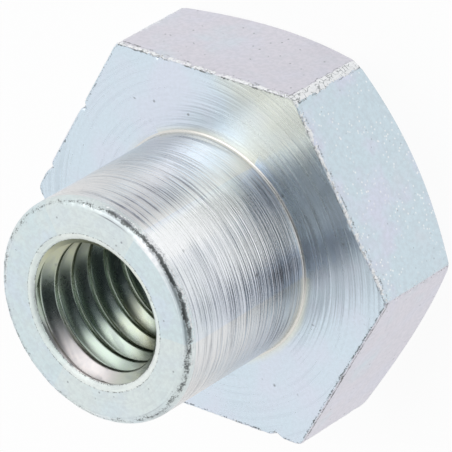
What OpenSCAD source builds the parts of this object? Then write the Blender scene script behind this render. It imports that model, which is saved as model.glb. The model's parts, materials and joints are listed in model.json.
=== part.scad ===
// Threaded nut with a round spigot, turned in one piece from hexagonal steel bar and zinc plated.
// It stands on the hexagon's back face with the spigot pointing up. All sizes are in millimetres.

/* [Hexagon] */
// Distance between opposite flats of the hexagon
hex_af = 19; // [16:0.5:24]
// Height of the hexagon, from its back face up to the shoulder
hex_h = 6; // [4:0.1:10]
// How much the drawn bar's upright corners fall short of sharp ones
corner_break = 0.12; // [0.02:0.02:0.4]
// Angle between the back face and the chamfer on the back corners
back_chamfer_angle = 30; // [15:1:45]
// How far inside the flats the round edge of the back face lies
back_edge_inset = 0.2; // [0.05:0.05:0.8]

/* [Spigot] */
// Outer diameter of the spigot
spigot_d = 11.85; // [10.5:0.05:14]
// Length of the spigot, from the shoulder to its end face
spigot_l = 8.9; // [4:0.1:20]
// Radius of the rounded rim around the end face
rim_r = 0.5; // [0.1:0.05:0.8]
// Radius of the fillet where the spigot meets the shoulder
root_r = 0.2; // [0.1:0.05:0.6]

/* [Bore] */
// Diameter of the bore, measured over the thread's crests
bore_d = 6.8; // [5:0.05:7.5]
// Diameter of the countersink at the spigot's end face
front_mouth_d = 8.5; // [7.6:0.05:9.2]
// Diameter of the countersink at the hexagon's back face
back_mouth_d = 8.5; // [7.6:0.05:9.2]
// Included angle of both countersinks
countersink_angle = 90; // [60:5:120]

/* [Hidden] */
$fn = 96;

// How far a cutting or trimming shape runs past the faces that it cuts
overrun = 1;
total_h = hex_h + spigot_l;
corner_r = hex_af / sqrt(3) - corner_break;
back_edge_r = hex_af / 2 - back_edge_inset;
back_chamfer_h = (corner_r - back_edge_r) * tan(back_chamfer_angle);
spigot_r = spigot_d / 2;
bore_r = bore_d / 2;
front_sink_h = (front_mouth_d / 2 - bore_r) / tan(countersink_angle / 2);
back_sink_h = (back_mouth_d / 2 - bore_r) / tan(countersink_angle / 2);

// Half section of the hexagon's length of bar: its corners' reach, with the back chamfer
module hexagon_section() {
    polygon([
        [0, 0],
        [back_edge_r, 0],
        [corner_r, back_chamfer_h],
        [corner_r, hex_h],
        [0, hex_h],
    ]);
}

// Half section of the spigot, from the back face up, with its rounded rim
module spigot_section() {
    square([spigot_r, total_h - rim_r]);
    square([spigot_r - rim_r, total_h]);
    translate([spigot_r - rim_r, total_h - rim_r]) circle(rim_r);
}

// Concave fillet between the spigot and the shoulder
module root_section() {
    translate([spigot_r, hex_h]) difference() {
        translate([-root_r, -root_r]) square(2 * root_r);
        translate([root_r, root_r]) circle(root_r);
    }
}

// Half section of what is drilled away: the bore and its two countersinks
module bore_section() {
    square([bore_r, total_h]);
    polygon([
        [0, 0],
        [back_mouth_d / 2, 0],
        [bore_r, back_sink_h],
        [0, back_sink_h],
    ]);
    polygon([
        [0, total_h - front_sink_h],
        [bore_r, total_h - front_sink_h],
        [front_mouth_d / 2, total_h],
        [0, total_h],
    ]);
}

// The drawn bar, with one pair of flats facing along X
module hex_bar() {
    translate([0, 0, -overrun]) rotate([0, 0, 30])
        cylinder(d = hex_af / cos(30), h = total_h + 2 * overrun, $fn = 6);
}

module nut() {
    color([0.80, 0.83, 0.85]) intersection() {
        rotate_extrude() difference() {
            union() {
                hexagon_section();
                spigot_section();
                root_section();
            }
            bore_section();
        }
        hex_bar();
    }
}

nut();
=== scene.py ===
"""Looks of a threaded nut with a spigot: one turned, zinc plated piece of steel on a pale studio floor."""

import json
import logging
import math
from dataclasses import dataclass
from enum import Enum

import bmesh
import bpy
from mathutils import Matrix, Vector, noise


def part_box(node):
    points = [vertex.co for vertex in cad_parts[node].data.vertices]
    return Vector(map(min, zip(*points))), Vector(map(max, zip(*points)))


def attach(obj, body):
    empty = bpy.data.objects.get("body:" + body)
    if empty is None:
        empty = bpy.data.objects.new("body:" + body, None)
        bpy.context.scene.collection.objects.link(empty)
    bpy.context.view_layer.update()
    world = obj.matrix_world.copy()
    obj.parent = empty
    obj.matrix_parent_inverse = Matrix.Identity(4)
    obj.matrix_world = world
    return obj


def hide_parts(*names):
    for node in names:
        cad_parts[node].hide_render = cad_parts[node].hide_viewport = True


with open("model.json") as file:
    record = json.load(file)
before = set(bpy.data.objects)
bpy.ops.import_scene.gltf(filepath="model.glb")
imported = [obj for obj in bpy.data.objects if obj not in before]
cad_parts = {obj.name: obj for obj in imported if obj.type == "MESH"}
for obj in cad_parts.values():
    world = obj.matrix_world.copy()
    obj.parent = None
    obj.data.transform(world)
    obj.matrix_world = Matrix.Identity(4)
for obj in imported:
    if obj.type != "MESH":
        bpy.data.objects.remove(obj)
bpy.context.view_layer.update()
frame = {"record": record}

LOG = logging.getLogger("nut")
MM = 0.001
FLATS = 6
SECTOR = 2 * math.pi / FLATS
SECTOR_DEG = 360 / FLATS
FLOAT, VECTOR, COLOUR = "NodeSocketFloat", "NodeSocketVector", "NodeSocketColor"

Colour = tuple[float, float, float]
Paint = tuple[float, float, float, float]
Points = list[bmesh.types.BMVert]
Socket = bpy.types.NodeSocket
Outputs = bpy.types.NodeOutputs
Values = dict[str | int, object]

WHITE: Paint = (1.0, 1.0, 1.0, 1.0)


def blend(start: float, end: float, share: float) -> float:
    """Returns the value that lies a given share of the way from start to end."""
    return start + (end - start) * share


def fade(distance: float, width: float) -> float:
    """Returns 1 at no distance, falling to almost nothing at twice the width."""
    return math.exp(-((distance / width) ** 2))


def ease(value: float, low: float, high: float) -> float:
    """Returns 0 up to low and 1 from high on, with a smooth step between."""
    share = min(max((value - low) / (high - low), 0.0), 1.0)
    return share * share * (3 - 2 * share)


def turn_between(degrees: float, other: float) -> float:
    """Returns the signed turn from one angle to another, between -180 and 180 degrees."""
    return (degrees - other + 180) % 360 - 180


def near_angle(degrees: float, middle: float, width: float) -> float:
    """Returns 1 at a middle angle, falling to almost nothing at twice the width, all in degrees."""
    return fade(turn_between(degrees, middle), width)


def polar(radius: float, angle: float, height: float) -> Vector:
    """Returns the point at a radius, at an angle around the axis in radians, and at a height."""
    return Vector((radius * math.cos(angle), radius * math.sin(angle), height))


def direction(azimuth_deg: float, elevation_deg: float) -> Vector:
    """Returns the unit vector towards an azimuth and an elevation, both in degrees."""
    elevation = math.radians(elevation_deg)
    return polar(math.cos(elevation), math.radians(azimuth_deg), math.sin(elevation))


def ripple(point: Vector, length: float, seed: float) -> float:
    """Smooth random value between -1 and 1.

    Args:
        point: Place on the nut, in metres.
        length: Length of one ripple, in metres.
        seed: Shifts the pattern, so that two uses differ.

    Returns:
        The value at that place.
    """
    return noise.noise(point / length + Vector((seed, 1.7 * seed, -0.6 * seed)))


class Zone(Enum):
    """The stretches of the nut's surface, in order from the front mouth of the bore to the back one."""

    LIP = 0
    END_FACE = 1
    RIM = 2
    SPIGOT = 3
    ROOT = 4
    SHOULDER = 5
    EDGE = 6
    FLAT = 7
    ARRIS = 8
    CHAMFER = 9
    BACK = 10
    BACK_LIP = 11
    BORE = 12


@dataclass(frozen=True)
class NutSizes:
    """Sizes of the nut in metres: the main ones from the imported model, the small edges named here."""

    across_flats: float
    hex_height: float
    total_height: float
    spigot_radius: float
    crest_radius: float
    mouth_radius: float
    rim_radius: float = 0.5 * MM
    root_radius: float = 0.14 * MM
    corner_radius: float = 0.45 * MM
    edge_radius: float = 0.07 * MM
    arris_radius: float = 0.08 * MM
    lip_radius: float = 0.48 * MM
    lip_inset: float = 0.12 * MM
    chamfer_slope: float = math.tan(math.radians(30.0))
    back_edge_inset: float = 0.2 * MM

    @classmethod
    def from_frame(cls) -> "NutSizes":
        """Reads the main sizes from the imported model's box and mounts.

        Returns:
            The nut's sizes.
        """
        low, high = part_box("nut")
        mounts = {mount["name"]: mount for mount in frame["record"]["mounts"]}
        total = high[2] - low[2]
        crest = mounts["thread"]["dims"]["r_mm"] * MM
        sink = (total - mounts["thread"]["dims"]["length_mm"] * MM) / 2
        return cls(
            across_flats=high[0] - low[0],
            hex_height=mounts["shoulder"]["pos_m"][2],
            total_height=total,
            spigot_radius=mounts["spigot"]["dims"]["r_mm"] * MM,
            crest_radius=crest,
            mouth_radius=crest + sink - cls.lip_inset,
        )

    @property
    def back_edge_radius(self) -> float:
        """Radius of the back face's round edge."""
        return self.across_flats / 2 - self.back_edge_inset

    @property
    def cone_mouth(self) -> float:
        """Radius at which a countersink's straight side would meet the flat face around it."""
        return self.mouth_radius - self.lip_radius * math.tan(math.pi / 8)

    def lip(self, share: float) -> tuple[float, float]:
        """Radius and drop of a mouth's rounded lip, from the countersink at 0 to the face at 1."""
        turn = (1 - share) * math.pi / 4
        return self.mouth_radius - self.lip_radius * math.sin(turn), self.lip_radius * (1 - math.cos(turn))

    def flat_reach(self, angle: float) -> float:
        """Distance from the axis to the hexagon's side, with its corners rounded.

        Args:
            angle: Direction around the axis, in radians, from the middle of a flat.

        Returns:
            The distance in metres.
        """
        apothem = self.across_flats / 2
        off_middle = abs((angle + SECTOR / 2) % SECTOR - SECTOR / 2)
        straight = (apothem - self.corner_radius) * math.tan(SECTOR / 2)
        if off_middle <= math.atan2(straight, apothem):
            return apothem / math.cos(off_middle)
        centre = (apothem - self.corner_radius) / math.cos(SECTOR / 2)
        off_corner = SECTOR / 2 - off_middle
        across = centre * math.sin(off_corner)
        return centre * math.cos(off_corner) + math.sqrt(self.corner_radius**2 - across**2)


@dataclass
class Mark:
    """What wear and painted light leave at one point: a move outwards and upwards, bright crushed metal and
    painted highlights, and dark lines, partly painted shade.
    """

    outward: float = 0.0
    upward: float = 0.0
    bright: float = 0.0
    dark: float = 0.0


@dataclass(frozen=True)
class Chip:
    """A nick in the shoulder's edge: where it lies around the axis, how wide and how deep it is."""

    angle_deg: float
    width: float
    depth: float


@dataclass(frozen=True)
class Grit:
    """Coarse ripples with a share of fine ones over them, which roughen an edge."""

    coarse: float
    coarse_seed: float
    fine: float
    fine_seed: float
    fine_share: float

    def at(self, point: Vector) -> float:
        """Returns how far the roughness swings at a place, around 0."""
        coarse = ripple(point, self.coarse, self.coarse_seed)
        return coarse + self.fine_share * ripple(point, self.fine, self.fine_seed)


@dataclass(frozen=True)
class EdgeWearAndShade:
    """Burrs, crushed corners, scuffs, nicks and painted shade lines, with sides and corners counted from
    the first flat on.
    """

    burr: float = 0.05 * MM
    burr_reach: float = 0.1 * MM
    edge_reach: float = 0.6 * MM
    crush: float = 0.06 * MM
    crush_half_deg: float = 1.3
    rim_scuff: float = 0.03 * MM
    rim_reach: float = 0.5 * MM
    rim_near_deg: float = -180.0
    rim_low_deg: float = -232.0
    rim_marked_deg: float = -172.0
    lip_rough: float = 0.015 * MM
    lip_shade_inset: float = 0.34 * MM
    arris_shade: float = 0.28
    burr_grit: Grit = Grit(0.33 * MM, 3.0, 0.13 * MM, 5.0, 0.7)
    lift_grit: Grit = Grit(0.4 * MM, 11.0, 0.15 * MM, 8.0, 0.6)
    crush_grit: Grit = Grit(0.3 * MM, 21.0, 0.14 * MM, 23.0, 0.8)
    rim_grit: Grit = Grit(0.3 * MM, 31.0, 0.13 * MM, 33.0, 0.8)
    sides: tuple[float, ...] = (0.5, 0.5, 0.35, 0.85, 0.9, 0.4)
    lines: tuple[float, ...] = (0.5, 0.55, 0.68, 0.55, 0.6, 0.5)
    corners: tuple[float, ...] = (0.4, 0.4, 0.3, 1.1, 0.4, 0.4)
    chips: tuple[Chip, ...] = (
        Chip(-64.5, 0.2 * MM, 0.16 * MM),
        Chip(-37.5, 0.2 * MM, 0.14 * MM),
        Chip(82.7, 0.25 * MM, 0.14 * MM),
        Chip(-102.7, 0.16 * MM, 0.12 * MM),
        Chip(119.0, 0.14 * MM, 0.08 * MM),
        Chip(172.0, 0.14 * MM, 0.08 * MM),
        Chip(24.0, 0.2 * MM, 0.1 * MM),
    )

    def at(self, zone: Zone, point: Vector, angle: float, sizes: NutSizes) -> Mark:
        """What wear and painted shade leave at a point.

        Args:
            zone: Stretch of the surface that the point lies on.
            point: The unworn place.
            angle: Its direction around the axis, in radians.
            sizes: The nut's sizes.

        Returns:
            The mark there.
        """
        mark = Mark()
        degrees = math.degrees(angle)
        if zone in (Zone.SHOULDER, Zone.EDGE, Zone.FLAT):
            self.fray_edge(mark, point, angle, sizes)
        if zone in (Zone.EDGE, Zone.FLAT, Zone.ARRIS):
            self.crush_corner(mark, point, degrees)
        # Painted shade along the rounded arris between a flat and the chamfer.
        if zone is Zone.ARRIS:
            mark.dark = max(mark.dark, self.arris_shade)
        if zone in (Zone.RIM, Zone.SPIGOT):
            self.scuff_rim(mark, point, degrees, sizes)
        if zone is Zone.LIP:
            self.shade_lip_creases(mark, point, sizes)
        return mark

    def shade_lip_creases(self, mark: Mark, point: Vector, sizes: NutSizes) -> None:
        """Paints two lines of shade along a mouth's lip, one at the face and one further in, and roughens
        the lip.

        Args:
            mark: Mark to add to.
            point: The unworn place.
            sizes: The nut's sizes.
        """
        inward = sizes.mouth_radius - math.hypot(point.x, point.y)
        # Painted shade where the lip's rounding meets the face and the countersink.
        at_face = 0.46 * fade(inward, 0.05 * MM)
        further_in = 0.5 * fade(inward - self.lip_shade_inset, 0.06 * MM)
        mark.outward += self.lip_rough * ripple(point, 0.5 * MM, 41.0)
        mark.dark = max(at_face, further_in)

    def fray_edge(self, mark: Mark, point: Vector, angle: float, sizes: NutSizes) -> None:
        """Leaves a burr, a dark seam, a painted shade line on the flat just below the edge, and nicks along
        the shoulder's edge.

        Args:
            mark: Mark to add to.
            point: The unworn place.
            angle: Its direction around the axis, in radians.
            sizes: The nut's sizes.
        """
        side = sizes.flat_reach(angle)
        inward = side - math.hypot(point.x, point.y)
        below = sizes.hex_height - point.z
        away = math.hypot(inward, below)
        if away > self.edge_reach:
            return
        degrees = math.degrees(angle)
        side_index = round(degrees / SECTOR_DEG) % FLATS
        strength = self.sides[side_index]
        near = fade(away, self.burr_reach)
        rough, lift = self.burr_grit.at(point), self.lift_grit.at(point)
        mark.outward += self.burr * near * strength * rough
        mark.upward += self.burr * near * strength * (0.3 + lift)
        specks = strength * max(0.0, 0.8 + 0.8 * rough)
        burnish = fade(below - 0.06 * MM, 0.15 * MM) * fade(inward, 0.14 * MM)
        mark.bright = max(mark.bright, burnish * specks)
        seam = fade(inward - 0.1 * MM, 0.06 * MM) * fade(below, 0.05 * MM)
        # Painted shade on the flat, a short way below the shoulder's edge.
        drop, width = 0.28 * MM * strength, (0.12 - 0.06 * strength) * MM
        shade_below_edge = fade(inward, 0.06 * MM) * fade(below - drop, width)
        broken = max(0.0, 0.9 + strength * lift)
        mark.dark = max(mark.dark, max(0.9 * seam, shade_below_edge) * self.lines[side_index] * broken)
        for chip in self.chips:
            along = side * math.radians(turn_between(degrees, chip.angle_deg))
            dip = fade(along, chip.width) * fade(away, 1.3 * chip.width)
            mark.outward -= chip.depth * dip
            mark.upward -= 0.7 * chip.depth * dip
            mark.bright = max(mark.bright, 0.45 * dip)
            mark.dark = max(mark.dark, 0.5 * dip)

    def crush_corner(self, mark: Mark, point: Vector, degrees: float) -> None:
        """Crumples the metal along a corner of the hexagon and marks it bright, partly as a painted
        highlight, with darker metal beside and along it.

        Args:
            mark: Mark to add to.
            point: The unworn place.
            degrees: Its direction around the axis.
        """
        index = math.floor(degrees / SECTOR_DEG) % FLATS
        off = abs(turn_between(degrees, SECTOR_DEG * (index + 0.5)))
        if off > 2.5 * self.crush_half_deg:
            return
        strength = self.corners[index]
        wavy = 0.3 * ripple(point, 0.5 * MM, 17.0) + 0.25 * ripple(point, 0.2 * MM, 19.0)
        aside = off / self.crush_half_deg + wavy
        band = 1 - ease(aside, 0.75, 1.25)
        rough = self.crush_grit.at(point)
        mark.outward += self.crush * band * strength * (rough - 0.4)
        # Bright crushed metal, painted near white, partly as a highlight.
        mark.bright = max(mark.bright, band * strength)
        beside = 0.5 * strength * fade(aside - 1.15, 0.2)
        along = 0.55 * (1 - min(strength, 1.0)) * fade(aside, 0.35)
        mark.dark = max(mark.dark, beside, along)

    def scuff_rim(self, mark: Mark, point: Vector, degrees: float, sizes: NutSizes) -> None:
        """Leaves a ragged dark line along the rounded rim with a light line just below it, both strongest
        towards one side, and roughens the rim.

        Args:
            mark: Mark to add to.
            point: The unworn place.
            degrees: Its direction around the axis.
            sizes: The nut's sizes.
        """
        near_side = near_angle(degrees, self.rim_near_deg, 75.0)
        below = sizes.total_height - sizes.rim_radius * blend(0.13, 0.4, near_side) - point.z
        if abs(below) > self.rim_reach:
            return
        rough = self.rim_grit.at(point)
        low_side = near_angle(degrees, self.rim_low_deg, 32.0)
        marked_side = 0.42 + 0.48 * near_angle(degrees, self.rim_marked_deg, 40.0) + 0.05 * low_side
        drift = 0.06 * MM * ripple(point, 0.8 * MM, 35.0)
        width = blend(0.1, 0.14, low_side) * MM
        mark.outward += self.rim_scuff * fade(below, 0.14 * MM) * rough
        mark.dark = max(mark.dark, fade(below + drift, width) * marked_side * (1.0 + 0.4 * rough))
        mark.bright = max(mark.bright, 0.75 * fade(below + drift - 0.18 * MM, 0.1 * MM) * marked_side)


@dataclass(frozen=True)
class PaintedLightBand:
    """A band along the spigot of painted highlight where its strength is above 0 and of painted shade where
    it is below 0.

    Its strength goes from one value at the rim to another at the root, around a given share of the way.
    """

    rim_deg: float
    root_deg: float
    half_deg: float
    rim_strength: float
    root_strength: float = 0.0
    change: float = 0.75

    def at(self, degrees: float, down: float) -> float:
        """Strength of the band at a point.

        Args:
            degrees: Direction around the axis.
            down: Share of the way from the rim to the root.

        Returns:
            The strength, below 0 where the band is painted shade.
        """
        middle = blend(self.rim_deg, self.root_deg, down)
        changed = ease(down, self.change - 0.25, self.change + 0.2)
        strength = blend(self.rim_strength, self.root_strength, changed)
        return strength * near_angle(degrees, middle, self.half_deg)


@dataclass(frozen=True)
class PaintedSheenAndTint:
    """Painted highlight and painted shade bands on the spigot, a painted shade fan on the shoulder, and the
    plate's tint from flat to flat.
    """

    # Painted highlight bands where the strength is above 0 and painted shade bands where it is below 0;
    # they also set how deep the grooves are.
    bands: tuple[PaintedLightBand, ...] = (
        PaintedLightBand(-159.0, -160.0, 10.0, 1.4, 0.0, 0.82),
        PaintedLightBand(-180.0, -184.0, 15.0, 0.5, 1.0, 0.45),
        PaintedLightBand(-213.0, -213.0, 9.0, 0.25, 0.15, 0.6),
        PaintedLightBand(-240.0, -236.0, 20.0, 0.0, -0.6, 0.75),
        PaintedLightBand(-138.0, -140.0, 9.0, -1.4, 0.0, 0.55),
        PaintedLightBand(-201.0, -201.0, 5.0, 0.0, -1.4, 0.7),
        PaintedLightBand(-140.0, -160.0, 10.0, 0.0, -1.0, 0.85),
        PaintedLightBand(-132.0, -128.0, 11.0, 0.0, 0.35, 0.7),
        PaintedLightBand(-40.0, -46.0, 13.0, 0.5),
        PaintedLightBand(-12.0, -20.0, 9.0, -0.4),
        PaintedLightBand(62.0, 54.0, 11.0, 0.5),
        PaintedLightBand(100.0, 92.0, 9.0, -0.4),
    )
    flat_tints: tuple[float, ...] = (0.3, 0.7, 0.85, 0.1, 0.85, 0.4)
    cream_deg: float = -147.0
    torn_deg: float = -181.0
    # Middle of the painted shade fan on the shoulder.
    shade_fan_deg: float = -186.0
    rosy_deg: float = 40.0
    olive_deg: float = -75.0

    def sheen(self, point: Vector, degrees: float, sizes: NutSizes) -> tuple[float, float]:
        """How much painted highlight and painted shade the spigot has at a point, and how much deeper its
        grooves are there.

        Args:
            point: Place on the spigot or its rim.
            degrees: Its direction around the axis.
            sizes: The nut's sizes.

        Returns:
            The sheen, above 0 for painted highlight and below 0 for painted shade, and the share of depth
            to add.
        """
        length = sizes.total_height - sizes.hex_height
        down = min(max((sizes.total_height - point.z) / length, 0.0), 1.0)
        sheen = sum(band.at(degrees, down) for band in self.bands)
        torn = 0.8 * ease(down, 0.5, 0.85) * near_angle(degrees, self.torn_deg, 18.0)
        rough = 0.6 * min(max(-sheen, 0.0), 1.0)
        return sheen, torn + rough - 0.65 * ease(sheen, 0.7, 1.5)

    def shade(self, degrees: float) -> float:
        """Painted shade on the shoulder at an angle, a darker fan beside the spigot, in the same measure.
        """
        return -0.35 * near_angle(degrees, self.shade_fan_deg, 17.0)

    def tint(self, zone: Zone, degrees: float) -> float:
        """How far the plate's tint goes from a finish's first colour at 0 to its second at 1.

        Args:
            zone: Stretch of the surface.
            degrees: Direction around the axis.

        Returns:
            The tint.
        """
        if zone is Zone.SHOULDER:
            return near_angle(degrees, self.cream_deg, 24.0) - 0.2
        return self.flat_tints[round(degrees / SECTOR_DEG) % FLATS]

    def bore_tint(self, degrees: float, depth: float) -> float:
        """The same in the bore, where a tint below -0.2 goes to the finish's third colour.

        Args:
            degrees: Direction around the axis.
            depth: Depth below the nearer mouth, in metres.

        Returns:
            The tint.
        """
        rosy = near_angle(degrees, self.rosy_deg, 55.0) * (1 - ease(depth, 0.6 * MM, 2.2 * MM))
        olive = near_angle(degrees, self.olive_deg, 50.0) * (1 - ease(depth, 3.0 * MM, 7.0 * MM))
        return rosy - 1.1 * olive


@dataclass(frozen=True)
class Thread:
    """Right-hand internal thread, swept as one turn of a profile that holds every pitch."""

    pitch: float = 1.25 * MM
    root_radius: float = 4.0 * MM
    crest_half: float = 0.12 * MM
    crest_height: float = 9.95 * MM
    run_out: float = 0.45 * MM
    columns: int = 192
    spare_turns: int = 2

    def profile(self, crest_radius: float) -> list[tuple[float, float]]:
        """Points of one pitch, from the middle of a crest up to just below the next one.

        Args:
            crest_radius: Radius of the bore over the crests, in metres.

        Returns:
            Pairs of height above the crest's middle and radius.
        """
        depth = self.root_radius - crest_radius
        root_half = self.pitch / 16
        flank = self.pitch / 2 - root_half - self.crest_half
        half = [
            (0.0, 0.0),
            (self.crest_half - 0.05 * MM, 0.0),
            (self.crest_half - 0.01 * MM, 0.012 * MM),
            (self.crest_half + 0.03 * MM, 0.06 * MM),
            (self.crest_half + 0.5 * flank, 0.5 * depth),
            (self.crest_half + 0.86 * flank, 0.86 * depth),
            (self.pitch / 2 - root_half, 0.965 * depth),
            (self.pitch / 2, depth),
        ]
        mirrored = [(self.pitch - height, rise) for height, rise in reversed(half[1:-1])]
        return [(height, crest_radius + rise) for height, rise in half + mirrored]


class NodeSketch:
    """Short way to place and link shader nodes in one node tree."""

    def __init__(self, tree: bpy.types.NodeTree) -> None:
        """Keeps the tree that nodes are added to."""
        self.tree = tree

    def add(
        self, kind: str, settings: Values | None = None, inputs: Values | None = None
    ) -> bpy.types.Node:
        """Adds one node.

        Args:
            kind: Blender's node type.
            settings: Properties of the node.
            inputs: Values or sockets for its inputs, by name or place.

        Returns:
            The new node.
        """
        node = self.tree.nodes.new(kind)
        for name, value in (settings or {}).items():
            setattr(node, name, value)
        for name, value in (inputs or {}).items():
            self.feed(node.inputs[name], value)
        return node

    def feed(self, socket: Socket, value: object) -> None:
        """Links a socket to an input, or sets the input's own value.

        Args:
            socket: The input.
            value: Socket to link, or a plain value.
        """
        if isinstance(value, Socket):
            self.tree.links.new(value, socket)
        else:
            socket.default_value = value

    def maths(self, operation: str, *values: object, clamp: bool = False) -> Socket:
        """Adds a maths node.

        Args:
            operation: Blender's name of the operation.
            values: Its inputs, in order.
            clamp: Whether the result is kept between 0 and 1.

        Returns:
            The result's socket.
        """
        settings = {"operation": operation, "use_clamp": clamp}
        return self.add("ShaderNodeMath", settings, dict(enumerate(values))).outputs[0]

    def times(self, first: object, second: object) -> Socket:
        """Multiplies two values."""
        return self.maths("MULTIPLY", first, second)

    def plus(self, first: object, second: object) -> Socket:
        """Adds two values."""
        return self.maths("ADD", first, second)

    def grain(self, vector: Socket, length: float = 1.0, detail: float = 2.0) -> Socket:
        """Adds smooth noise whose ripples have a given length, and returns its value socket."""
        inputs = {"Vector": vector, "Scale": 1 / length, "Detail": detail, "Roughness": 0.55}
        return self.add("ShaderNodeTexNoise", {}, inputs).outputs[0]

    def remap(self, value: object, low: float, high: float, end: float = 1.0) -> Socket:
        """Maps the stretch from low to high onto the one from 0 to end, smoothly and with clamped ends."""
        inputs = {"Value": value, "From Min": low, "From Max": high, "To Min": 0.0, "To Max": end}
        return self.add("ShaderNodeMapRange", {"interpolation_type": "SMOOTHSTEP"}, inputs).outputs[0]

    def mix(self, share: object, first: object, second: object) -> Socket:
        """Mixes two colours.

        Args:
            share: How far to go from the first colour to the second.
            first: Colour at 0.
            second: Colour at 1.

        Returns:
            The mixed colour's socket.
        """
        node = self.add("ShaderNodeMix", {"data_type": "RGBA"})
        self.feed(node.inputs[0], share)
        self.feed(node.inputs[6], first)
        self.feed(node.inputs[7], second)
        return node.outputs[2]

    def shrink(self, vector: object, length: object, shift: float = 0.0) -> Socket:
        """Divides coordinates by a length, so that it becomes 1, and shifts them.

        Args:
            vector: The coordinates.
            length: One length, as a number or a socket, or one for each axis.
            shift: Added to each coordinate afterwards.

        Returns:
            The new coordinates' socket.
        """
        unit = (length,) * 3 if isinstance(length, float) else length
        scaled = self.add("ShaderNodeVectorMath", {"operation": "DIVIDE"}, {0: vector, 1: unit})
        shifts = {0: scaled.outputs[0], 1: (shift,) * 3}
        return self.add("ShaderNodeVectorMath", {"operation": "ADD"}, shifts).outputs[0]


class EffectGroup:
    """A shader node group that several finishes share."""

    def __init__(self, name: str, inputs: dict[str, str], outputs: dict[str, str]) -> None:
        """Makes an empty group.

        Args:
            name: The group's name.
            inputs: Socket types by name.
            outputs: Socket types by name.
        """
        self.tree = bpy.data.node_groups.new(name, "ShaderNodeTree")
        for label, kind in inputs.items():
            self.tree.interface.new_socket(label, in_out="INPUT", socket_type=kind)
        for label, kind in outputs.items():
            self.tree.interface.new_socket(label, in_out="OUTPUT", socket_type=kind)
        self.sketch = NodeSketch(self.tree)
        self.source = self.sketch.add("NodeGroupInput")
        self.sink = self.sketch.add("NodeGroupOutput")

    def put(self, **results: Socket) -> "EffectGroup":
        """Links results to the group's outputs.

        Args:
            results: Sockets by the output's name.

        Returns:
            The group itself.
        """
        for label, socket in results.items():
            self.sketch.feed(self.sink.inputs[label], socket)
        return self

    def place(self, sketch: NodeSketch, inputs: Values) -> Outputs:
        """Places the group in a material and returns its outputs."""
        return sketch.add("ShaderNodeGroup", {"node_tree": self.tree}, inputs).outputs


def turning_marks() -> EffectGroup:
    """Grooves that a lathe tool leaves around the axis, as a height and as dark streaks.

    Returns:
        The group.
    """
    inputs = {"Vector": VECTOR, "Groove": FLOAT, "Arc": FLOAT}
    group = EffectGroup("turning_marks", inputs, {"Height": FLOAT, "Streak": FLOAT})
    sketch, source = group.sketch, group.source.outputs
    axes = sketch.add("ShaderNodeSeparateXYZ", {}, {0: source["Vector"]}).outputs
    squares = sketch.plus(sketch.times(axes[0], axes[0]), sketch.times(axes[1], axes[1]))
    radius = sketch.maths("SQRT", squares)
    across = sketch.maths("DIVIDE", sketch.maths("SUBTRACT", radius, axes[2]), source["Groove"])

    def around(arc_share: float, across_share: float) -> Socket:
        """Coordinates that run along and across the grooves, with no seam.

        Args:
            arc_share: How fast the pattern changes along a groove.
            across_share: How fast it changes across the grooves.

        Returns:
            The coordinates' socket.
        """
        arc = sketch.times(source["Arc"], arc_share)
        parts = [sketch.times(sketch.maths("DIVIDE", axis, radius), arc) for axis in (axes[0], axes[1])]
        parts.append(sketch.times(across, across_share))
        return sketch.add("ShaderNodeCombineXYZ", {}, dict(enumerate(parts))).outputs[0]

    fine = sketch.grain(around(1.0, 1.0), detail=1.0)
    broad = sketch.grain(around(0.7, 0.3), detail=2.0)
    patch = sketch.grain(around(2.0, 0.07), detail=2.0)
    height = sketch.plus(sketch.times(fine, 0.7), sketch.times(broad, 0.45))
    streak = sketch.times(sketch.remap(fine, 0.5, 0.63), sketch.remap(patch, 0.34, 0.6))
    return group.put(Height=height, Streak=streak)


def plating_tint() -> EffectGroup:
    """Pale clouds of three tints, as a clear passivated zinc plate has them.

    Returns:
        The group.
    """
    tints = dict.fromkeys(("Main", "Second", "Third"), COLOUR)
    inputs = {"Vector": VECTOR, "Cloud": FLOAT, "Lean": FLOAT, **tints}
    group = EffectGroup("plating_tint", inputs, {"Color": COLOUR})
    sketch, source = group.sketch, group.source.outputs
    broad = sketch.grain(sketch.shrink(source["Vector"], source["Cloud"]), detail=3.0)
    other = sketch.grain(sketch.shrink(source["Vector"], source["Cloud"], 7.3), detail=3.0)
    leaning = sketch.plus(sketch.times(sketch.maths("SUBTRACT", broad, 0.5), 1.6), source["Lean"])
    tinted = sketch.mix(sketch.remap(leaning, 0.15, 0.85), source["Main"], source["Second"])
    cool_side = sketch.maths("SUBTRACT", 1.15, source["Lean"], clamp=True)
    patches = sketch.times(sketch.remap(other, 0.45, 0.68), cool_side)
    share = sketch.maths("MAXIMUM", patches, sketch.maths("SUBTRACT", -0.2, source["Lean"], clamp=True))
    return group.put(Color=sketch.mix(share, tinted, source["Third"]))


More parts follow.
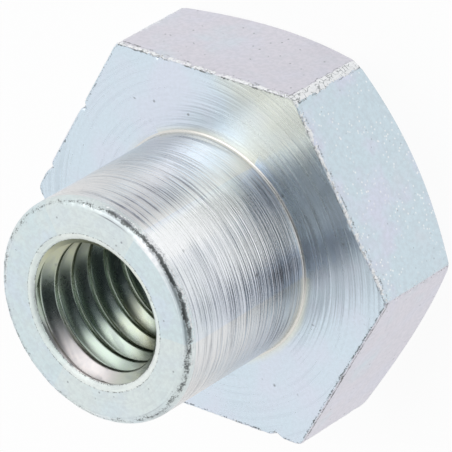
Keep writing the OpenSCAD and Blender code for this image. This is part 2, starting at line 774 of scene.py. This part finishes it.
def plating_grain() -> EffectGroup:
    """Pinholes, painted glints and a fine mottle in the plate, as three masks.

    Returns:
        The group.
    """
    inputs = {"Vector": VECTOR, "Spacing": FLOAT, "Keep": FLOAT}
    group = EffectGroup("plating_grain", inputs, {"Pit": FLOAT, "Glint": FLOAT, "Mottle": FLOAT})
    sketch, source = group.sketch, group.source.outputs

    def dots(place: Socket, size: float, keep: object) -> Socket:
        """Round spots in some of the cells of a random pattern.

        Args:
            place: Coordinates, in cells.
            size: Radius of a spot, in cells.
            keep: Share of the cells that stay empty.

        Returns:
            The spots' mask.
        """
        cells = sketch.add("ShaderNodeTexVoronoi", {}, {"Vector": place, "Scale": 1.0}).outputs
        chosen = sketch.add("ShaderNodeSeparateColor", {}, {0: cells["Color"]}).outputs[0]
        kept = sketch.maths("GREATER_THAN", chosen, keep)
        return sketch.times(kept, sketch.remap(cells["Distance"], size, 0.2 * size))

    cell = sketch.shrink(source["Vector"], source["Spacing"], 3.1)
    fine_cell = sketch.shrink(source["Vector"], sketch.times(source["Spacing"], 0.45), 1.37)
    settings = {"rotation_type": "EULER_XYZ"}
    slanted = sketch.add("ShaderNodeVectorRotate", settings, {"Vector": cell, "Rotation": (0.9, 0.7, 0.3)})
    drawn_out = sketch.shrink(slanted.outputs[0], (0.9, 0.9, 4.0), 5.3)
    scratch = sketch.times(dots(drawn_out, 0.13, source["Keep"]), 0.8)
    pit = sketch.maths("MAXIMUM", dots(cell, 0.2, source["Keep"]), scratch)
    clusters = sketch.remap(sketch.grain(sketch.shrink(source["Vector"], 1.7 * MM, 2.3)), 0.35, 0.6)
    # Painted glints: white sparkle dots, in clusters.
    glint = sketch.times(dots(fine_cell, 0.45, 0.84), clusters)
    mottle = sketch.grain(source["Vector"], 0.2 * MM, detail=4.0)
    return group.put(Pit=pit, Glint=glint, Mottle=mottle)


def worn_metal() -> EffectGroup:
    """Crushed bright metal with cracks, and dark ragged lines, from the bright and dark amounts at a place,
    which are wear in part and painted highlight and shade in part.

    Returns:
        The group.
    """
    inputs = {"Vector": VECTOR, "Bright": FLOAT, "Dark": FLOAT}
    outputs = dict.fromkeys(("Crush", "Crack", "Line", "Height"), FLOAT)
    group = EffectGroup("worn_metal", inputs, outputs)
    sketch, source = group.sketch, group.source.outputs

    def ragged(amount: Socket, length: float, shift: float) -> Socket:
        """Breaks an even amount up into patches with ragged edges.

        Args:
            amount: The even amount.
            length: Size of the patches, in metres.
            shift: Moves the pattern, so that two uses differ.

        Returns:
            The patches' mask.
        """
        speckle = sketch.grain(sketch.shrink(source["Vector"], length, shift))
        swing = sketch.times(sketch.maths("SUBTRACT", speckle, 0.5), 1.3)
        return sketch.remap(sketch.plus(amount, swing), 0.36, 0.62)

    crush = ragged(source["Bright"], 0.11 * MM, 0.0)
    line = ragged(source["Dark"], 0.07 * MM, 4.7)
    pattern = {"Vector": source["Vector"], "Scale": 1 / (0.26 * MM)}
    cells = sketch.add("ShaderNodeTexVoronoi", {"feature": "DISTANCE_TO_EDGE"}, pattern)
    broken = sketch.remap(sketch.grain(source["Vector"], 0.2 * MM), 0.4, 0.62)
    crack = sketch.times(sketch.times(crush, broken), sketch.remap(cells.outputs["Distance"], 0.11, 0.02))
    crumple = sketch.grain(source["Vector"], 0.12 * MM)
    return group.put(Crush=crush, Crack=crack, Line=line, Height=sketch.times(crush, crumple))


@dataclass(frozen=True)
class Effects:
    """The node groups that every finish draws on."""

    marks: EffectGroup
    tint: EffectGroup
    grain: EffectGroup
    worn: EffectGroup

    @classmethod
    def make(cls) -> "Effects":
        """Makes each group once."""
        return cls(turning_marks(), plating_tint(), plating_grain(), worn_metal())


@dataclass(frozen=True)
class PlateMasks:
    """What the node groups put out in one material, with the lean of its tint."""

    cloud: Socket
    lean: Socket
    groove: Outputs
    spots: Outputs
    worn: Outputs


class PatinaAndPaintedLight(Enum):
    """Colours that streaks, painted highlight and shade bands, spots, painted glints and wear lay over the
    plate's own tints.
    """

    STREAK = (0.3, 0.32, 0.36, 1.0)
    # Painted shade of the spigot's dark bands and the shoulder's fan.
    PAINTED_SHADE = (0.25, 0.26, 0.29, 1.0)
    # Painted highlight of the spigot's bright bands.
    PAINTED_HIGHLIGHT = (0.97, 0.985, 1.0, 1.0)
    CLOUD = (0.5, 0.53, 0.57, 1.0)
    PIT = (0.25, 0.27, 0.29, 1.0)
    # Painted glints.
    GLINT = WHITE
    # Crushed metal, painted near white, partly as a highlight.
    CRUSHED_AND_HIGHLIGHT = (0.98, 0.99, 1.0, 1.0)
    CRACK = (0.3, 0.32, 0.33, 1.0)
    # Dark lines at edges, the lip, the arris and the rim, partly painted shade.
    LINE = (0.13, 0.14, 0.14, 1.0)


@dataclass(frozen=True)
class ZincFinish:
    """One way that the zinc plated steel looks, after what shaped the surface below the plate."""

    ACROSS_GROOVES = 0.25

    name: str
    zones: tuple[Zone, ...]
    main: Colour
    second: Colour
    third: Colour
    roughness: float
    anisotropy: float
    metallic: float = 1.0
    groove: float = 0.11 * MM
    arc: float = 1.1
    groove_depth: float = 0.0
    streak_dark: float = 0.0
    pit_keep: float = 0.9
    pit_spacing: float = 0.8 * MM
    pit_depth: float = 0.006 * MM
    crumple_height: float = 0.022 * MM
    line_depth: float = 0.01 * MM
    # Strength of the painted glints.
    glint: float = 0.0
    mottle: float = 0.1
    cloud: float = 5.0 * MM
    lean_rough: float = 0.0

    def build(self, effects: Effects) -> bpy.types.Material:
        """Makes the material.

        Args:
            effects: The shared node groups.

        Returns:
            The finished material.
        """
        material = bpy.data.materials.new(self.name)
        material.use_nodes = True
        sketch = NodeSketch(material.node_tree)
        masks = self.masks(sketch, effects)
        # Where the metal is marked bright it turns half diffuse, so its near-white colour shows as a
        # painted highlight from every side.
        bare = sketch.times(masks.worn["Crush"], 0.5)
        tangent = sketch.add("ShaderNodeTangent", {"direction_type": "RADIAL", "axis": "Z"})
        results = {
            "Base Color": self.colour(sketch, masks),
            "Metallic": sketch.maths("SUBTRACT", self.metallic, bare, clamp=True),
            "Roughness": self.dullness(sketch, masks),
            "Anisotropic": self.anisotropy,
            "Anisotropic Rotation": self.ACROSS_GROOVES,
            "Tangent": tangent.outputs[0],
            "Normal": self.relief(sketch, masks),
        }
        shader = material.node_tree.nodes["Principled BSDF"]
        for name, value in results.items():
            sketch.feed(shader.inputs[name], value)
        return material

    def masks(self, sketch: NodeSketch, effects: Effects) -> PlateMasks:
        """Places the shared node groups in the material.

        Args:
            sketch: The material's node tree.
            effects: The shared node groups.

        Returns:
            What the groups put out.
        """
        place = {"Vector": sketch.add("ShaderNodeTexCoord").outputs["Object"]}
        lines = {"Groove": self.groove, "Arc": self.arc}
        pits = {"Spacing": self.pit_spacing, "Keep": self.pit_keep}
        wear = {"Bright": self.note(sketch, "bright"), "Dark": self.note(sketch, "dark")}
        lean = self.note(sketch, "tint")
        colours = {"Main": self.main, "Second": self.second, "Third": self.third}
        tints = {name: (*colour, 1.0) for name, colour in colours.items()}
        cloud = effects.tint.place(sketch, {**place, "Cloud": self.cloud, "Lean": lean, **tints})
        return PlateMasks(
            cloud=cloud["Color"],
            lean=lean,
            groove=effects.marks.place(sketch, {**place, **lines}),
            spots=effects.grain.place(sketch, {**place, **pits}),
            worn=effects.worn.place(sketch, {**place, **wear}),
        )

    def dullness(self, sketch: NodeSketch, masks: PlateMasks) -> Socket:
        """Roughness of the plate, uneven along streaks, in clouds and where the metal is crushed.

        Args:
            sketch: The material's node tree.
            masks: What the node groups put out.

        Returns:
            The roughness's socket.
        """
        streaks = sketch.times(masks.groove["Streak"], 0.08)
        uneven = sketch.plus(streaks, sketch.times(masks.spots["Mottle"], 0.12))
        dulled = sketch.times(sketch.maths("ABSOLUTE", masks.lean), self.lean_rough)
        rough = sketch.plus(sketch.plus(self.roughness - 0.06, uneven), dulled)
        return sketch.plus(rough, sketch.times(masks.worn["Crush"], 0.15))

    def relief(self, sketch: NodeSketch, masks: PlateMasks) -> Socket:
        """Turns grooves, pits, crumpled metal and worn lines into a bumped normal.

        Args:
            sketch: The material's node tree.
            masks: What the node groups put out.

        Returns:
            The normal's socket.
        """
        depth = sketch.times(sketch.plus(self.note(sketch, "deepen"), 1.0), self.groove_depth)
        height = sketch.times(masks.groove["Height"], depth)
        reliefs = (
            (masks.spots["Pit"], -self.pit_depth),
            (masks.worn["Height"], self.crumple_height),
            (masks.worn["Line"], -self.line_depth),
        )
        for mask, rise in reliefs:
            height = sketch.plus(height, sketch.times(mask, rise))
        inputs = {"Strength": 1.0, "Distance": 1.0, "Height": height}
        return sketch.add("ShaderNodeBump", {}, inputs).outputs[0]

    @staticmethod
    def note(sketch: NodeSketch, name: str) -> Socket:
        """Reads one of the values that the mesh keeps at its points."""
        return sketch.add("ShaderNodeAttribute", {"attribute_name": name}).outputs["Fac"]

    def colour(self, sketch: NodeSketch, masks: PlateMasks) -> Socket:
        """Lays streaks, painted highlight and shade bands, pits, painted glints, and wear with painted
        shade lines over the plate's tint.

        Args:
            sketch: The material's node tree.
            masks: What the node groups put out.

        Returns:
            The colour's socket.
        """
        streak, spots, worn = masks.groove["Streak"], masks.spots, masks.worn
        sheen = self.note(sketch, "sheen")
        lined = sketch.plus(sketch.times(streak, 1.2), 0.28)
        unlit = sketch.maths("MULTIPLY", sheen, -1.0, clamp=True)
        cool_side = sketch.maths("SUBTRACT", 1.1, masks.lean, clamp=True)
        glint = sketch.times(sketch.times(spots["Glint"], self.glint), sketch.times(cool_side, cool_side))
        layers = (
            (sketch.times(streak, self.streak_dark), PatinaAndPaintedLight.STREAK),
            # Painted shade where the sheen is below 0.
            (sketch.maths("MULTIPLY", unlit, lined, clamp=True), PatinaAndPaintedLight.PAINTED_SHADE),
            # Painted highlight where the sheen is above 0.
            (sketch.maths("SUBTRACT", sheen, sketch.times(streak, 0.5), clamp=True), PatinaAndPaintedLight.PAINTED_HIGHLIGHT),
            (sketch.times(sketch.remap(spots["Mottle"], 0.35, 0.65), self.mottle), PatinaAndPaintedLight.CLOUD),
            (sketch.times(spots["Pit"], 0.8), PatinaAndPaintedLight.PIT),
            # Painted glints on the cooler flats.
            (glint, PatinaAndPaintedLight.GLINT),
            # Crushed metal, painted near white, partly as a highlight.
            (worn["Crush"], PatinaAndPaintedLight.CRUSHED_AND_HIGHLIGHT),
            (sketch.times(worn["Crack"], 0.85), PatinaAndPaintedLight.CRACK),
            # Dark lines: seams, nicks and the rim's line, with painted shade under the shoulder's edge, at
            # the lip and along the arris.
            (sketch.times(worn["Line"], 0.9), PatinaAndPaintedLight.LINE),
        )
        colour = masks.cloud
        for share, patina in layers:
            colour = sketch.mix(share, colour, patina.value)
        return colour


FINISHES = (
    ZincFinish(
        name="faced_end",
        zones=(Zone.END_FACE, Zone.RIM),
        main=(0.68, 0.79, 0.81),
        second=(0.73, 0.80, 0.79),
        third=(0.68, 0.77, 0.84),
        roughness=0.38,
        anisotropy=0.2,
        groove_depth=0.001 * MM,
        streak_dark=0.05,
        pit_keep=0.84,
        pit_spacing=0.42 * MM,
        mottle=0.24,
        cloud=1.6 * MM,
    ),
    # Pale, half diffuse lip: a painted highlight ring around the front mouth.
    ZincFinish(
        name="rolled_lip",
        zones=(Zone.LIP,),
        main=(0.86, 0.95, 0.92),
        second=(0.89, 0.94, 0.91),
        third=(0.88, 0.93, 0.86),
        roughness=0.4,
        anisotropy=0.2,
        metallic=0.35,
        groove_depth=0.004 * MM,
        streak_dark=0.15,
        pit_keep=0.9,
        mottle=0.15,
    ),
    ZincFinish(
        name="turned_root",
        zones=(Zone.ROOT,),
        main=(0.73, 0.72, 0.70),
        second=(0.75, 0.73, 0.68),
        third=(0.72, 0.73, 0.72),
        roughness=0.26,
        anisotropy=0.6,
        groove=0.085 * MM,
        arc=1.6,
        groove_depth=0.01 * MM,
        streak_dark=0.2,
        pit_keep=0.97,
    ),
    ZincFinish(
        name="turned_spigot",
        zones=(Zone.SPIGOT,),
        main=(0.66, 0.70, 0.78),
        second=(0.72, 0.72, 0.72),
        third=(0.67, 0.73, 0.75),
        roughness=0.2,
        anisotropy=0.93,
        groove=0.085 * MM,
        arc=1.0,
        groove_depth=0.056 * MM,
        streak_dark=0.6,
        pit_keep=0.97,
        mottle=0.04,
    ),
    ZincFinish(
        name="faced_shoulder",
        zones=(Zone.SHOULDER,),
        main=(0.665, 0.77, 0.85),
        second=(0.75, 0.78, 0.71),
        third=(0.70, 0.75, 0.85),
        roughness=0.22,
        anisotropy=0.9,
        groove=0.21 * MM,
        groove_depth=0.055 * MM,
        streak_dark=0.05,
        pit_keep=0.92,
        pit_spacing=0.6 * MM,
    ),
    ZincFinish(
        name="drawn_flats",
        zones=(Zone.EDGE, Zone.FLAT, Zone.ARRIS),
        main=(0.66, 0.775, 0.84),
        second=(0.745, 0.725, 0.79),
        third=(0.72, 0.75, 0.87),
        roughness=0.4,
        anisotropy=0.0,
        pit_keep=0.8,
        pit_spacing=0.38 * MM,
        glint=0.75,
        mottle=0.22,
        cloud=2.6 * MM,
    ),
    ZincFinish(
        name="turned_back",
        zones=(Zone.CHAMFER, Zone.BACK, Zone.BACK_LIP),
        main=(0.68, 0.77, 0.85),
        second=(0.73, 0.76, 0.83),
        third=(0.70, 0.78, 0.80),
        roughness=0.36,
        anisotropy=0.7,
        groove=0.16 * MM,
        groove_depth=0.004 * MM,
        streak_dark=0.12,
    ),
    ZincFinish(
        name="cut_thread",
        zones=(Zone.BORE,),
        main=(0.44, 0.52, 0.45),
        second=(0.66, 0.62, 0.61),
        third=(0.57, 0.57, 0.39),
        roughness=0.22,
        anisotropy=0.4,
        groove_depth=0.002 * MM,
        streak_dark=0.2,
        pit_keep=0.98,
        mottle=0.2,
        lean_rough=0.14,
    ),
)


@dataclass(frozen=True)
class NutBody:
    """The nut itself: a spun outline pressed into a hexagon, with a helical thread in its bore."""

    NAME = "nut_body"
    NOTES = ("bright", "dark", "sheen", "deepen", "tint")
    COLUMNS = 720
    SEAM = 0.02 * MM
    MERGE = 0.002 * MM
    SHARP_DEG = 38.0
    RINGS = {
        Zone.LIP: 6,
        Zone.END_FACE: 4,
        Zone.RIM: 10,
        Zone.SPIGOT: 9,
        Zone.ROOT: 4,
        Zone.SHOULDER: 13,
        Zone.EDGE: 5,
        Zone.FLAT: 25,
        Zone.ARRIS: 3,
        Zone.CHAMFER: 4,
        Zone.BACK: 4,
        Zone.BACK_LIP: 3,
    }

    sizes: NutSizes
    thread: Thread
    wear: EdgeWearAndShade
    sheen: PaintedSheenAndTint

    def stations(self) -> list[tuple[Zone, float]]:
        """Rings of the outline in order.

        Returns:
            For each ring, its zone and its share of the way along that zone.
        """
        rings = [(Zone.LIP, 0.0)]
        for zone, count in self.RINGS.items():
            rings += [(zone, self.spacing(zone, (step + 1) / count)) for step in range(count)]
        return rings

    @staticmethod
    def spacing(zone: Zone, share: float) -> float:
        """Draws rings together where a broad face meets an edge.

        Args:
            zone: Stretch of the outline.
            share: Even share of the way along it.

        Returns:
            The share at which the ring lies.
        """
        if zone is Zone.SHOULDER:
            return 1 - (1 - share) ** 2.2
        if zone is Zone.END_FACE:
            return share**2
        if zone is Zone.FLAT:
            return share**1.5
        return share

    def place(self, zone: Zone, share: float, angle: float) -> tuple[float, float]:
        """Where a ring's point lies at an angle.

        Args:
            zone: Stretch of the outline.
            share: How far along that stretch the point lies, from 0 to 1.
            angle: Direction around the axis, in radians.

        Returns:
            Radius and height in metres.
        """
        if zone.value <= Zone.ROOT.value:
            return self.place_round(zone, share)
        return self.place_hexagon(zone, share, self.sizes.flat_reach(angle))

    def place_round(self, zone: Zone, share: float) -> tuple[float, float]:
        """Where a point of the lip, end face, rim, spigot or root lies.

        Args:
            zone: Stretch of the outline.
            share: How far along that stretch the point lies, from 0 to 1.

        Returns:
            Radius and height in metres.
        """
        size = self.sizes
        top = size.total_height
        turn = share * math.pi / 2
        rim_start = size.spigot_radius - size.rim_radius
        if zone is Zone.LIP:
            radius, drop = size.lip(share)
            return radius, top - drop
        if zone is Zone.END_FACE:
            return blend(size.mouth_radius, rim_start, share), top
        if zone is Zone.RIM:
            drop = size.rim_radius * (1 - math.cos(turn))
            return rim_start + size.rim_radius * math.sin(turn), top - drop
        if zone is Zone.SPIGOT:
            foot = size.hex_height + size.root_radius
            return size.spigot_radius, blend(top - size.rim_radius, foot, share)
        centre = size.spigot_radius + size.root_radius
        rise = size.root_radius * (1 - math.sin(turn))
        return centre - size.root_radius * math.cos(turn), size.hex_height + rise

    def place_hexagon(self, zone: Zone, share: float, side: float) -> tuple[float, float]:
        """Where a point of the hexagon or the back lies.

        Args:
            zone: Stretch of the outline.
            share: How far along that stretch the point lies, from 0 to 1.
            side: Distance from the axis to the hexagon's side there.

        Returns:
            Radius and height in metres.
        """
        size = self.sizes
        turn = share * math.pi / 2
        edge, arris = size.edge_radius, size.arris_radius
        chamfer_top = (side - size.back_edge_radius) * size.chamfer_slope
        foot = (side - arris, chamfer_top - arris * size.chamfer_slope)
        if zone is Zone.SHOULDER:
            return blend(size.spigot_radius + size.root_radius, side - edge, share), size.hex_height
        if zone is Zone.EDGE:
            return side - edge * (1 - math.sin(turn)), size.hex_height - edge * (1 - math.cos(turn))
        if zone is Zone.FLAT:
            return side, blend(size.hex_height - edge, chamfer_top + arris, share)
        if zone is Zone.ARRIS:
            bulge = arris * 0.25 * math.sin(share * math.pi)
            return blend(side, foot[0], share) + bulge, blend(chamfer_top + arris, foot[1], share) - bulge
        if zone is Zone.CHAMFER:
            return blend(foot[0], size.back_edge_radius, share), blend(foot[1], 0.0, share)
        if zone is Zone.BACK:
            return blend(size.back_edge_radius, size.mouth_radius, share), 0.0
        return size.lip(1 - share)

    @staticmethod
    def sweep(mesh: bmesh.types.BMesh, verts: Points, columns: int, rise: float) -> Points:
        """Spins a chain of points through a sixth of a turn and copies that around the axis.

        Args:
            mesh: Mesh that holds the points.
            verts: The chain, in order.
            columns: Steps in a whole turn.
            rise: Height gained in a whole turn.

        Returns:
            The swept points, with their doubles merged.
        """
        before = set(mesh.verts) - set(verts)
        edges = [mesh.edges.new(pair) for pair in zip(verts, verts[1:])]
        bmesh.ops.spin(
            mesh,
            geom=verts + edges,
            cent=(0, 0, 0),
            axis=(0, 0, 1),
            dvec=(0, 0, rise / columns),
            angle=SECTOR,
            steps=columns // FLATS,
        )
        first = [vert for vert in mesh.verts if vert not in before]
        parts = first + list({edge for vert in first for edge in vert.link_edges})
        parts += list({face for vert in first for face in vert.link_faces})
        for copy in range(1, FLATS):
            twin = bmesh.ops.duplicate(mesh, geom=parts)["geom"]
            twin_verts = [item for item in twin if isinstance(item, bmesh.types.BMVert)]
            turn = Matrix.Rotation(copy * SECTOR, 3, "Z")
            bmesh.ops.rotate(mesh, verts=twin_verts, cent=(0, 0, 0), matrix=turn)
            bmesh.ops.translate(mesh, verts=twin_verts, vec=(0, 0, rise * copy / FLATS))
        swept = [vert for vert in mesh.verts if vert not in before]
        bmesh.ops.remove_doubles(mesh, verts=swept, dist=NutBody.MERGE)
        return [vert for vert in mesh.verts if vert not in before]

    def spin_outline(self, mesh: bmesh.types.BMesh) -> None:
        """Spins the outline around the axis, presses its rings into the hexagon and wears its edges.

        Args:
            mesh: Empty mesh to fill.
        """
        ring_layer = mesh.verts.layers.int.new("ring")
        notes = {name: mesh.verts.layers.float.new(name) for name in self.NOTES}
        stations = self.stations()
        verts = []
        for index, (zone, share) in enumerate(stations):
            radius, height = self.place(zone, share, 0.0)
            vert = mesh.verts.new((radius, 0.0, height))
            vert[ring_layer] = index
            verts.append(vert)
        for vert in self.sweep(mesh, verts, self.COLUMNS, 0.0):
            zone, share = stations[vert[ring_layer]]
            angle = math.atan2(vert.co.y, vert.co.x)
            degrees = math.degrees(angle)
            radius, height = self.place(zone, share, angle)
            point = polar(radius, angle, height)
            mark = self.wear.at(zone, point, angle, self.sizes)
            vert[notes["bright"]], vert[notes["dark"]] = mark.bright, mark.dark
            vert[notes["tint"]] = self.sheen.tint(zone, degrees)
            # Painted highlight and painted shade bands on the rim and spigot, with the grooves' depth to
            # match.
            if zone in (Zone.RIM, Zone.SPIGOT):
                vert[notes["sheen"]], vert[notes["deepen"]] = self.sheen.sheen(point, degrees, self.sizes)
            # Painted shade fan on the shoulder.
            if zone is Zone.SHOULDER:
                vert[notes["sheen"]] = self.sheen.shade(degrees)
            vert.co = polar(radius + mark.outward, angle, height + mark.upward)
        for face in mesh.faces:
            face.material_index = stations[max(vert[ring_layer] for vert in face.verts)][0].value

    def opened(self, radius: float, height: float) -> tuple[float, float]:
        """Opens the thread's surface into the countersinks and lets it run out below the lips.

        Args:
            radius: Radius of the thread there.
            height: Height of the point, which may lie past a mouth.

        Returns:
            Radius and height, no further out than the mouths.
        """
        size = self.sizes
        start = size.lip(0.0)[1] + self.SEAM
        height = min(max(height, start), size.total_height - start)
        depth = min(height, size.total_height - height)
        running = ease(depth, start, start + self.thread.run_out)
        deepest = blend(size.cone_mouth - start, self.thread.root_radius, running)
        return max(min(radius, deepest), size.cone_mouth - depth), height

    def spin_thread(self, mesh: bmesh.types.BMesh) -> None:
        """Sweeps the thread up the bore, trims it to the countersinks and joins it to the outline's mouths.

        Args:
            mesh: Mesh that already holds the spun outline.
        """
        size, thread = self.sizes, self.thread
        turns = math.ceil(size.total_height / thread.pitch) + 2 * thread.spare_turns
        below = math.ceil(thread.crest_height / thread.pitch) + thread.spare_turns
        tint_layer = mesh.verts.layers.float["tint"]
        outer_faces = set(mesh.faces)
        verts = []
        for turn in range(turns):
            base = thread.crest_height + (turn - below) * thread.pitch
            for height, radius in thread.profile(size.crest_radius):
                verts.append(mesh.verts.new((radius, 0.0, base + height)))
        bore = self.sweep(mesh, verts, thread.columns, thread.pitch)
        for vert in bore:
            angle = math.atan2(vert.co.y, vert.co.x)
            radius, height = self.opened(math.hypot(vert.co.x, vert.co.y), vert.co.z)
            depth = min(height, size.total_height - height)
            vert[tint_layer] = self.sheen.bore_tint(math.degrees(angle), depth)
            vert.co = polar(radius, angle, height)
        bmesh.ops.remove_doubles(mesh, verts=bore, dist=self.MERGE)
        near = 2 * size.lip(0.0)[1]
        for height in (0.0, size.total_height):
            rims = [
                edge
                for edge in mesh.edges
                if edge.is_boundary and all(abs(vert.co.z - height) < near for vert in edge.verts)
            ]
            bmesh.ops.bridge_loops(mesh, edges=rims)
        for face in mesh.faces:
            if face not in outer_faces:
                face.material_index = Zone.BORE.value

    def dress(self, data: bpy.types.Mesh) -> None:
        """Gives each zone its finish.

        Args:
            data: The nut's mesh, whose faces hold their zone's number.
        """
        effects = Effects.make()
        slots = {}
        for slot, finish in enumerate(FINISHES):
            data.materials.append(finish.build(effects))
            slots |= {zone.value: slot for zone in finish.zones}
        for face in data.polygons:
            face.material_index = slots[face.material_index]

    def build(self) -> bpy.types.Object:
        """Makes the nut's mesh object.

        Returns:
            The finished object, at the origin.
        """
        mesh = bmesh.new()
        self.spin_outline(mesh)
        self.spin_thread(mesh)
        bmesh.ops.recalc_face_normals(mesh, faces=mesh.faces[:])
        for face in mesh.faces:
            face.smooth = True
        zones = [face.material_index for face in mesh.faces]
        open_edges = sum(1 for edge in mesh.edges if not edge.is_manifold)
        triangles = sum(len(face.verts) - 2 for face in mesh.faces)
        data = bpy.data.meshes.new(self.NAME)
        mesh.to_mesh(data)
        mesh.free()
        data.polygons.foreach_set("material_index", zones)
        self.dress(data)
        data.set_sharp_from_angle(angle=math.radians(self.SHARP_DEG))
        nut = bpy.data.objects.new(self.NAME, data)
        bpy.context.scene.collection.objects.link(nut)
        LOG.info("%s: %d triangles, %d open edges", self.NAME, triangles, open_edges)
        return nut


@dataclass(frozen=True)
class PhotoView:
    """Camera at the photograph's viewing angle, given by where it looks and from where."""

    aim: tuple[float, float, float] = (-3.146 * MM, -0.848 * MM, 7.45 * MM)
    azimuth_deg: float = -171.275
    elevation_deg: float = 43.692
    roll_deg: float = -120.617
    distance: float = 282.16 * MM
    lens_mm: float = 463.0
    sensor_mm: float = 36.0
    nearest: float = 0.01
    farthest: float = 10.0

    def build(self) -> None:
        """Adds the camera and makes it the scene's own."""
        back = direction(self.azimuth_deg, self.elevation_deg)
        level = Vector((0, 0, 1)).cross(back).normalized()
        upright = Matrix((level, back.cross(level), back)).transposed()
        turned = upright @ Matrix.Rotation(math.radians(self.roll_deg), 3, "Z")
        data = bpy.data.cameras.new("photo_camera")
        data.lens = self.lens_mm
        data.sensor_width = self.sensor_mm
        data.clip_start = self.nearest
        data.clip_end = self.farthest
        camera = bpy.data.objects.new("photo_camera", data)
        stand = Vector(self.aim) + back * self.distance
        camera.matrix_world = Matrix.Translation(stand) @ turned.to_4x4()
        bpy.context.scene.collection.objects.link(camera)
        bpy.context.scene.camera = camera


@dataclass(frozen=True)
class SoftPatch:
    """A soft bright or dark patch of the studio's surroundings, seen from the nut."""

    azimuth_deg: float
    elevation_deg: float
    inner_deg: float
    outer_deg: float
    strength: float


@dataclass(frozen=True)
class Studio:
    """Pale floor, soft light and white surroundings with a dark side where the camera stands."""

    floor_size: float = 3.0
    floor_drop: float = 0.02 * MM
    floor_white: float = 0.93
    floor_colour: Paint = (0.95, 0.95, 0.95, 1.0)
    surround: float = 0.98
    darkest: float = 0.03
    patches: tuple[SoftPatch, ...] = (
        SoftPatch(127.0, 55.0, 13.0, 31.0, -0.95),
        SoftPatch(-172.0, 46.0, 14.0, 34.0, -0.92),
        SoftPatch(-88.0, 56.0, 12.0, 30.0, 0.95),
    )
    shade: Paint = (0.72, 0.88, 1.0, 1.0)

    def build(self) -> None:
        """Builds the floor and the world."""
        scene = bpy.context.scene
        scene.view_settings.view_transform = "Standard"
        mesh = bmesh.new()
        bmesh.ops.create_grid(mesh, x_segments=1, y_segments=1, size=self.floor_size / 2)
        bmesh.ops.translate(mesh, verts=mesh.verts[:], vec=(0, 0, -self.floor_drop))
        data = bpy.data.meshes.new("floor")
        mesh.to_mesh(data)
        mesh.free()
        floor = bpy.data.objects.new("floor", data)
        scene.collection.objects.link(floor)
        data.materials.append(self.floor_paint())
        scene.world = self.surroundings()

    def floor_paint(self) -> bpy.types.Material:
        """White paint that shows as white to the camera and in the metal, and still takes a shadow.

        Returns:
            The paint's material.
        """
        paint = bpy.data.materials.new("floor_paint")
        paint.use_nodes = True
        sketch = NodeSketch(paint.node_tree)
        shader = paint.node_tree.nodes["Principled BSDF"]
        shader.inputs["Base Color"].default_value = self.floor_colour
        shader.inputs["Roughness"].default_value = 1.0
        shader.inputs["Specular IOR Level"].default_value = 0.0
        rays = sketch.add("ShaderNodeLightPath").outputs
        seen = sketch.maths("MAXIMUM", rays["Is Camera Ray"], rays["Is Glossy Ray"])
        seen = sketch.maths("MAXIMUM", seen, rays["Is Transmission Ray"])
        glow = sketch.add("ShaderNodeEmission", {}, {"Color": WHITE, "Strength": 1.0}).outputs[0]
        parts = {0: sketch.times(seen, self.floor_white), 1: shader.outputs[0], 2: glow}
        mixed = sketch.add("ShaderNodeMixShader", {}, parts)
        sketch.feed(paint.node_tree.nodes["Material Output"].inputs["Surface"], mixed.outputs[0])
        return paint

    def surroundings(self) -> bpy.types.World:
        """Even white light with a lamp's bright patch and dark patches on the camera's side.

        Returns:
            The world.
        """
        world = bpy.data.worlds.new("studio")
        world.use_nodes = True
        sketch = NodeSketch(world.node_tree)
        towards = sketch.add("ShaderNodeTexCoord").outputs["Generated"]
        level = self.surround
        for patch in self.patches:
            aims = {0: towards, 1: direction(patch.azimuth_deg, patch.elevation_deg)}
            facing = sketch.add("ShaderNodeVectorMath", {"operation": "DOT_PRODUCT"}, aims)
            inner, outer = (math.cos(math.radians(deg)) for deg in (patch.inner_deg, patch.outer_deg))
            added = sketch.remap(facing.outputs["Value"], outer, inner, patch.strength)
            level = sketch.plus(level, added)
        background = world.node_tree.nodes["Background"]
        lit = sketch.maths("MULTIPLY", level, 1.0, clamp=True)
        sketch.feed(background.inputs["Color"], sketch.mix(lit, self.shade, WHITE))
        sketch.feed(background.inputs["Strength"], sketch.maths("MAXIMUM", level, self.darkest))
        return world


def main() -> None:
    """Builds the nut, its studio and its camera in order."""
    logging.basicConfig(level=logging.INFO, format="%(name)s: %(message)s")
    nut = NutBody(NutSizes.from_frame(), Thread(), EdgeWearAndShade(), PaintedSheenAndTint()).build()
    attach(nut, "root")
    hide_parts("nut")
    Studio().build()
    PhotoView().build()
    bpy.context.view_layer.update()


if __name__ == "__main__":
    main()
